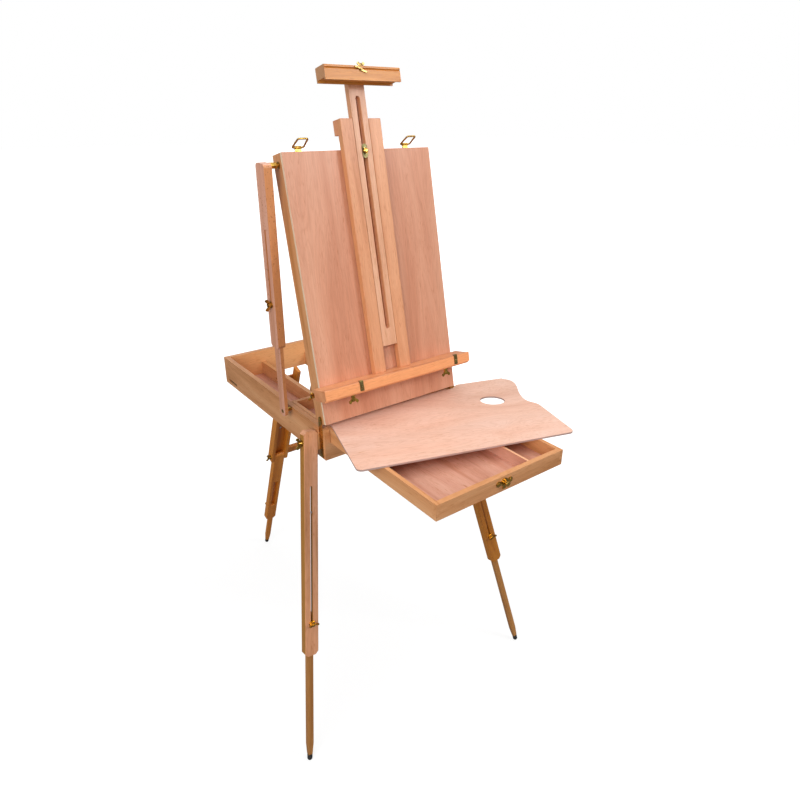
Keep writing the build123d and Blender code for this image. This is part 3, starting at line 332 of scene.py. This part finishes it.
def leather():
    """Dark brown leather with a pebbled grain."""
    shader = Shader("leather")
    cells = shader.tree.nodes.new("ShaderNodeTexVoronoi")
    cells.feature = "DISTANCE_TO_EDGE"
    cells.inputs["Scale"].default_value = 900
    shader.link(shader.place, cells.inputs["Vector"])
    tone = shader.noise(shader.place, scale=55, detail=5)
    colour = shader.ramp(tone, (0.3, srgb(66, 38, 22)), (0.7, srgb(104, 64, 38)))
    creases = shader.ramp(cells.outputs["Distance"], (0.0, 0.6), (0.12, 1.0))
    shader.link(shader.multiply(colour, creases), shader.surface.inputs["Base Color"])
    shader.link(shader.ramp(tone, (0.3, 0.62), (0.7, 0.45)), shader.surface.inputs["Roughness"])
    shader.bump(creases, 0.0002, 0.6)
    return shader.material


brass = metal("brass", (214, 170, 82), (130, 100, 46), 0.14)
dark_brass = metal("dark_brass", (150, 124, 78), (78, 62, 34), 0.2)
clamp_brass = metal("clamp_brass", (118, 110, 76), (72, 66, 42), 0.3)
aged_brass = metal("aged_brass", (152, 134, 84), (98, 82, 46), 0.2)
steel = metal("steel", (206, 206, 208), (160, 160, 164), 0.22)

palette_turn = math.radians(-16.9)
palette_grain = Vector((math.cos(palette_turn), math.sin(palette_turn), 0))
leg_across = {side: joint_axis(f"{side}_leg_fold") for side in ("left", "right", "rear")}
# Kind of wood, direction of its grain, faces in the edge colour, and nodes
wood_nodes = (
    ("box_beech", Y, None, ("box_left_wall", "box_right_wall", "drawer_runners", "drawer_sides")),
    ("box_beech", X, None, ("box_front_rail", "drawer_front", "drawer_back", "lid_end_bars")),
    # The back wall's faces that look along Y, the inside face among them, are painted lighter to lift the
    # shade inside the box.
    ("box_beech", X, (-Y,), ("box_back_wall",)),
    ("box_beech", Z, None, ("leg_wedges",)),
    ("box_beech", lid_up, None, ("lid_sides",)),
    ("carrier_beech", lid_up, (X,), ("carrier_rails",)),
    ("mast_beech", lid_up, (X,), ("mast",)),
    ("carrier_beech", X, None, ("carrier_top_block",)),
    # The ledge's front takes the brighter edge colour: painted light on a face that looks down.
    ("ledge_beech", X, (lid_out,), ("canvas_ledge",)),
    ("head_beech", X, (X,), ("head_block",)),
    ("arm_beech", arm_up, (-Y,), ("left_arm_channel", "left_arm_bar")),
    ("leg_beech", leg_up["left"], (leg_across["left"],), ("left_leg_outer",)),
    # The inner legs, the right leg and the rear legs take beech with painted shade.
    ("inner_painted_shade_beech", leg_up["left"], None, ("left_leg_inner",)),
    ("right_leg_painted_shade_beech", leg_up["right"], (leg_across["right"],), ("right_leg_outer",)),
    ("inner_painted_shade_beech", leg_up["right"], None, ("right_leg_inner",)),
    ("rear_painted_shade_beech", leg_up["rear"], (X,), ("rear_leg_frame", "rear_leg_outer", "rear_leg_inner")),
    ("plywood", lid_up, (X,), ("lid_panel",)),
    ("drawer_ply", Y, None, ("drawer_floor", "box_floor_panels")),
    ("drawer_ply", Y, (Z,), ("drawer_divider",)),
    ("palette_ply", palette_grain, (Z, "LESS_THAN"), ("palette",)),
)


EASED_EDGE = 0.6 * MM


def paint(node, material):
    """Give a CAD node one material."""
    slots = nodes[node].data.materials
    slots.clear()
    slots.append(material)


def soften(node, width):
    """Ease a node's sharp edges, as sanding does."""
    bevel = nodes[node].modifiers.new("eased_edges", "BEVEL")
    bevel.width = width
    bevel.segments = 2
    bevel.limit_method = "ANGLE"
    bevel.angle_limit = math.radians(50)


for kind, grain, side, names in wood_nodes:
    for node in names:
        paint(node, wood(kind, grain, side))
        soften(node, EASED_EDGE)

slot_of = {part["node"]: part["material_slot"] for part in frame["record"]["subparts"]}
brass_of = {
    "ledge_clips": aged_brass,
    "mast_clamp_plate": clamp_brass,
    "head_hook": dark_brass,
    "head_wing_bolt": dark_brass,
}
rubber_skin = rubber()
leather_skin = leather()
for node, slot in slot_of.items():
    if slot == "brass":
        paint(node, brass_of.get(node, brass))
    elif slot == "rubber":
        paint(node, rubber_skin)
    elif slot == "leather":
        paint(node, leather_skin)


# Small hardware
def finish_piece(name, shape, place, body, material):
    """Put a new metal piece in the scene, on a body."""
    mesh = bpy.data.meshes.new(name)
    shape.to_mesh(mesh)
    shape.free()
    piece = bpy.data.objects.new(name, mesh)
    bpy.context.scene.collection.objects.link(piece)
    piece.matrix_world = place
    mesh.materials.append(material)
    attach(piece, body)


def screw(name, place, outward, radius, body, material, dome=0.42):
    """A domed screw head with a cross, its rim sunk a little below the surface.

    dome is the head's height as a share of its radius.
    """
    rings, around = 9, 48
    height = radius * dome
    cross_half = radius * 0.13
    cross_reach = radius * 0.62
    cross_depth = height * 0.45
    rim_depth = 0.3 * MM
    shape = bmesh.new()

    def rise(x, y):
        distance = math.hypot(x, y) / radius
        top = height * math.sqrt(max(0.0, 1 - distance ** 2))
        near, far = sorted((abs(x), abs(y)))
        return top - (cross_depth if near < cross_half and far < cross_reach else 0)

    centre = shape.verts.new((0, 0, rise(0, 0)))
    previous = None
    for ring in range(1, rings + 1):
        distance = radius * ring / rings
        current = []
        for step in range(around):
            angle = 2 * math.pi * step / around
            x, y = distance * math.cos(angle), distance * math.sin(angle)
            current.append(shape.verts.new((x, y, rise(x, y))))
        for step in range(around):
            after = (step + 1) % around
            if previous is None:
                shape.faces.new((centre, current[step], current[after]))
            else:
                shape.faces.new((previous[step], current[step], current[after], previous[after]))
        previous = current
    skirt = [shape.verts.new((vertex.co.x, vertex.co.y, -rim_depth)) for vertex in previous]
    for step in range(around):
        after = (step + 1) % around
        shape.faces.new((previous[step], skirt[step], skirt[after], previous[after]))
    shape.faces.new(list(reversed(skirt)))
    turn = outward.to_track_quat("Z", "Y").to_matrix().to_4x4()
    finish_piece(name, shape, Matrix.Translation(place) @ turn, body, material)


def block(name, low, high, body, material):
    """A block between two corners."""
    shape = bmesh.new()
    bmesh.ops.create_cube(shape, size=1.0)
    for vertex in shape.verts:
        for axis in range(3):
            vertex.co[axis] = high[axis] if vertex.co[axis] > 0 else low[axis]
    finish_piece(name, shape, Matrix.Identity(4), body, material)


# Stop screws, let into the slots above the reach of the slide bolts
STOP_ABOVE_BOLT = 277 * MM
STOP_SUNK = 1.3 * MM
STOP_RADIUS = 2.6 * MM
LEG_HALF = 9.5 * MM
for side in ("left", "right"):
    outward = joint_axis(f"{side}_leg_slide_bolt_turn")
    bolt = joint_place(f"{side}_leg_slide_bolt_turn")
    face = bolt + outward * LEG_HALF
    stop = face + leg_up[side] * STOP_ABOVE_BOLT - outward * STOP_SUNK
    screw(f"{side}_leg_stop_screw", stop, outward, STOP_RADIUS, f"{side}_leg_outer", steel)

# Flat-headed screws in the rear frame's web, clear of the leg that folds in front of it
WEB_SCREWS_DOWN = (80 * MM, 229 * MM)
WEB_BEHIND_PIVOT = 10.4 * MM
WEB_SCREW_RADIUS = 4 * MM
FLAT_DOME = 0.14
rear_front = -joint_axis("rear_leg_slide_bolt_turn")
rear_pivot = joint_place("rear_frame_swing")
for number, down in enumerate(WEB_SCREWS_DOWN):
    place = rear_pivot - leg_up["rear"] * down - rear_front * WEB_BEHIND_PIVOT
    name = f"rear_web_screw_{number + 1}"
    screw(name, place, rear_front, WEB_SCREW_RADIUS, "rear_frame", steel, FLAT_DOME)

# The slot in the left wall holds a dark brass plate, let in a little all round: it stands for the brass
# fitting that glints there, and its darkness is painted shade that deepens the slot.
FITTING_AND_SHADE_DEPTH = (3 * MM, 8.2 * MM)
FITTING_AND_SHADE_FROM_BACK = (76.2 * MM, 17.8 * MM)
FITTING_AND_SHADE_HEIGHT = (7.8 * MM, 16.7 * MM)
wall = nodes["box_left_wall"]
corners = [wall.matrix_world @ Vector(corner) for corner in wall.bound_box]
outside = min(corner.x for corner in corners)
back = max(corner.y for corner in corners)
underside = min(corner.z for corner in corners)
low, high = (
    (outside + depth, back - from_back, underside + height)
    for depth, from_back, height in zip(FITTING_AND_SHADE_DEPTH, FITTING_AND_SHADE_FROM_BACK, FITTING_AND_SHADE_HEIGHT)
)
block("strap_slot_fitting_and_shade", low, high, "box", aged_brass)


# Camera, at the photograph's viewpoint
def look_from(place, yaw, pitch, roll, lens):
    """A camera at a place; yaw turns from +Y to +X, and pitch looks down."""
    yaw, pitch, roll = (math.radians(angle) for angle in (yaw, pitch, roll))
    forward = Vector((math.sin(yaw) * math.cos(pitch), math.cos(yaw) * math.cos(pitch), -math.sin(pitch)))
    right = Vector((math.cos(yaw), -math.sin(yaw), 0))
    up = right.cross(forward)
    turned_right = right * math.cos(roll) + up * math.sin(roll)
    turned_up = up * math.cos(roll) - right * math.sin(roll)
    camera = bpy.data.objects.new("camera", bpy.data.cameras.new("camera"))
    bpy.context.scene.collection.objects.link(camera)
    turn = Matrix((turned_right, turned_up, -forward)).transposed().to_4x4()
    camera.matrix_world = Matrix.Translation(place) @ turn
    camera.data.lens = lens
    camera.data.sensor_width = 36
    camera.data.clip_end = 50
    bpy.context.scene.camera = camera


look_from(Vector((-0.7782, -1.0657, 1.4704)), 36.89, 24.84, 0.28, 28.01)


# Floor, background and light
FLOOR_TONE = 0.25
FLOOR_SIZE = 30.0
# The floor's glow for the camera rises from the first of these distances to the second.
GLOW_DISTANCES = (0.8, 2.0)
GLOW_STRENGTHS = (0.8, 1.2)
# The noise levels at which metal sees the dark and the bright parts of the room
ROOM_LEVELS = (0.42, 0.56)
ROOM_STRENGTHS = (0.06, 1.1)


def map_range(node, levels, strengths):
    """Set a Map Range node to turn one pair of values into another."""
    node.inputs["From Min"].default_value, node.inputs["From Max"].default_value = levels
    node.inputs["To Min"].default_value, node.inputs["To Max"].default_value = strengths


def floor():
    """A wide pale floor that shows as white, fading to pure white away from the easel."""
    mesh = bpy.data.meshes.new("floor")
    signs = ((-1, -1), (1, -1), (1, 1), (-1, 1))
    mesh.from_pydata([(x * FLOOR_SIZE, y * FLOOR_SIZE, 0) for x, y in signs], [], [(0, 1, 2, 3)])
    ground = bpy.data.objects.new("floor", mesh)
    bpy.context.scene.collection.objects.link(ground)
    shader = Shader("floor")
    shader.set(Base_Color=(FLOOR_TONE, FLOOR_TONE, FLOOR_TONE, 1), Roughness=0.9)
    shader.surface.inputs["Specular IOR Level"].default_value = 0.0
    distance = shader.tree.nodes.new("ShaderNodeVectorMath")
    distance.operation = "LENGTH"
    shader.link(shader.place, distance.inputs[0])
    rise = shader.tree.nodes.new("ShaderNodeMapRange")
    map_range(rise, GLOW_DISTANCES, GLOW_STRENGTHS)
    shader.link(distance.outputs["Value"], rise.inputs["Value"])
    sight = shader.tree.nodes.new("ShaderNodeLightPath")
    glow = shader.tree.nodes.new("ShaderNodeMath")
    glow.operation = "MULTIPLY"
    shader.link(sight.outputs["Is Camera Ray"], glow.inputs[0])
    shader.link(rise.outputs["Result"], glow.inputs[1])
    shader.surface.inputs["Emission Color"].default_value = (1, 1, 1, 1)
    shader.link(glow.outputs[0], shader.surface.inputs["Emission Strength"])
    mesh.materials.append(shader.material)


def world(low, high):
    """Soft white light, from its strength at the horizon to that overhead.

    The camera sees plain white, and metal sees a room with dark parts.
    """
    sky = bpy.data.worlds.new("studio")
    bpy.context.scene.world = sky
    sky.use_nodes = True
    tree = sky.node_tree
    sight = tree.nodes.new("ShaderNodeLightPath")
    coordinates = tree.nodes.new("ShaderNodeTexCoord")
    room = tree.nodes.new("ShaderNodeTexNoise")
    room.inputs["Scale"].default_value = 2.6
    room.inputs["Detail"].default_value = 1.0
    tree.links.new(coordinates.outputs["Generated"], room.inputs["Vector"])
    contrast = tree.nodes.new("ShaderNodeMapRange")
    map_range(contrast, ROOM_LEVELS, ROOM_STRENGTHS)
    tree.links.new(room.outputs["Fac"], contrast.inputs["Value"])
    axes = tree.nodes.new("ShaderNodeSeparateXYZ")
    tree.links.new(coordinates.outputs["Generated"], axes.inputs[0])
    height = tree.nodes.new("ShaderNodeMapRange")
    map_range(height, (0.0, 1.0), (low, high))
    tree.links.new(axes.outputs["Z"], height.inputs["Value"])
    level = tree.nodes.new("ShaderNodeMapRange")
    tree.links.new(height.outputs["Result"], level.inputs["To Min"])
    tree.links.new(sight.outputs["Is Glossy Ray"], level.inputs["Value"])
    tree.links.new(contrast.outputs["Result"], level.inputs["To Max"])
    seen = tree.nodes.new("ShaderNodeMapRange")
    seen.inputs["To Max"].default_value = 1.0
    tree.links.new(sight.outputs["Is Camera Ray"], seen.inputs["Value"])
    tree.links.new(level.outputs["Result"], seen.inputs["To Min"])
    background = tree.nodes["Background"]
    background.inputs["Color"].default_value = (1, 1, 1, 1)
    tree.links.new(seen.outputs["Result"], background.inputs["Strength"])


def lamp(name, place, target, power, size):
    """A soft square lamp aimed at a point."""
    light = bpy.data.lights.new(name, "AREA")
    light.energy = power
    light.size = size
    holder = bpy.data.objects.new(name, light)
    bpy.context.scene.collection.objects.link(holder)
    holder.location = place
    holder.rotation_euler = (Vector(target) - Vector(place)).to_track_quat("-Z", "Y").to_euler()


floor()
world(0.22, 0.6)
lamp("key", (1.6, -2.2, 2.7), (0, 0, 1.1), 29, 0.9)
lamp("fill", (-2.6, -1.5, 2.1), (0, 0, 1.0), 64, 2.0)
lamp("top", (0.3, -0.2, 3.0), (0, 0, 0.9), 22, 2.0)
bpy.context.scene.view_settings.view_transform = "Standard"
